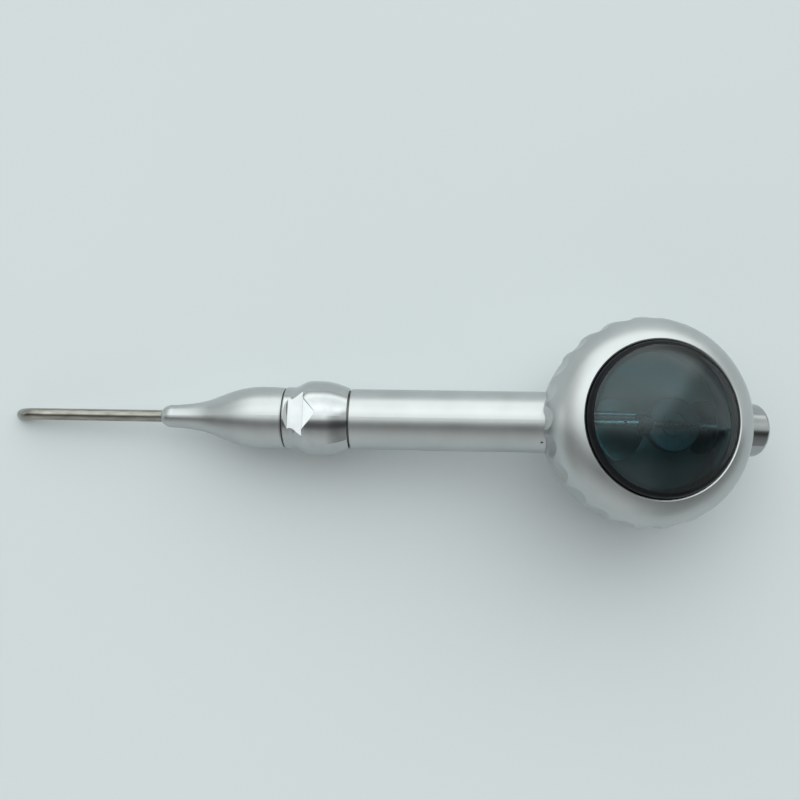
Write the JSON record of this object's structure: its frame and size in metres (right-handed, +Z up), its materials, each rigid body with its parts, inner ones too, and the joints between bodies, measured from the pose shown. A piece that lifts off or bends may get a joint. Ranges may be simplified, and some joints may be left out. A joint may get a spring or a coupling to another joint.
{
  "type": "dental powder-jet polishing handpiece",
  "caption": "Dental powder-jet polishing handpiece: bent-tip nozzle with a lock ring, straight handle, round powder jar with a screwed window ring and a rear connector.",
  "frame": {"origin": "on the surface it rests on, under the centre of the whole object's bounding box", "axes": "+Z up from that surface, +X along the length towards the rear connector, +Y to the side"},
  "size_m": [0.1908, 0.05, 0.0458],
  "materials": {
    "satin_handle": "bead-blasted satin",
    "satin_case": "bead-blasted satin",
    "satin_cap": "bead-blasted satin with a polished rim edge",
    "satin_cone": "bead-blasted satin",
    "chrome_ring": "bright chrome plate",
    "bright_connector": "polished, turned",
    "nozzle_steel": "drawn stainless tube, slightly heat-tinted",
    "tube_steel": "drawn",
    "turned_steel": "turned",
    "spring_steel": "polished",
    "plated_brass": "nickel-plated, turned",
    "dark_collar": "blackened",
    "mixing_cap": "turned, dull",
    "black_screw": "blackened",
    "black_rubber": "moulded",
    "silicone": "moulded",
    "white_plastic": "turned",
    "smoked_window": "polished smoked blue-grey plastic"
  },
  "bodies": {
    "handle": {"handle_tube": "satin_handle", "grub_screw": "black_screw", "front_bulkhead": "plated_brass", "front_socket": "plated_brass", "collet": "turned_steel", "ring_clip": "spring_steel", "powder_pipe": "tube_steel", "water_pipe": "tube_steel", "powder_case": "satin_case", "case_neck": "satin_case", "case_gasket": "black_rubber", "collar_nut": "dark_collar", "mixing_post": "turned_steel", "mixing_cap": "mixing_cap", "air_jet_tube": "tube_steel", "connector_body": "bright_connector", "connector_orings": "black_rubber", "duckbill_valve": "silicone", "water_seal": "silicone"},
    "window": {"window_dome": "smoked_window"},
    "slip_washer": {"slip_washer": "white_plastic"},
    "cap_ring": {"cap_ring": "satin_cap"},
    "lock_ring": {"lock_ring": "chrome_ring"},
    "swivel_plug": {"swivel_plug": "turned_steel", "plug_orings": "black_rubber", "thrust_washer": "white_plastic"},
    "nozzle": {"nozzle_tube": "nozzle_steel", "powder_jet_tube": "tube_steel", "nozzle_cone": "satin_cone", "nozzle_stem": "turned_steel", "stem_orings": "black_rubber", "stem_clip": "spring_steel"}
  },
  "joints": [
    {"name": "ring_turn", "type": "hinge", "parent": "handle", "child": "lock_ring", "pos_m": [-0.01639, 0, 0.01362], "axis": [-0.992, 0, -0.1262], "range_deg": [0, 90]},
    {"name": "nozzle_pull", "type": "slide", "parent": "handle", "child": "swivel_plug", "axis": [-0.992, 0, -0.1262], "range_m": [0, 0.024]},
    {"name": "nozzle_swivel", "type": "hinge", "parent": "swivel_plug", "child": "nozzle", "pos_m": [-0.02432, 0, 0.01261], "axis": [-0.992, 0, -0.1262], "continuous": true},
    {"name": "cap_lift_off", "type": "slide", "parent": "handle", "child": "window", "axis": [0.0872, 0, 0.9962], "range_m": [0, 0.045]},
    {"name": "cap_rise", "type": "slide", "parent": "window", "child": "slip_washer", "axis": [0.0872, 0, 0.9962], "range_m": [0, 0.0045]},
    {"name": "cap_turn", "type": "hinge", "parent": "slip_washer", "child": "cap_ring", "pos_m": [0.06198, 0, 0.02359], "axis": [0.0872, 0, 0.9962], "range_deg": [0, 1080]}
  ],
  "couplings": [
    {"joint": "cap_rise", "follows": "cap_turn", "m_per_rad": 0.0002387}
  ]
}
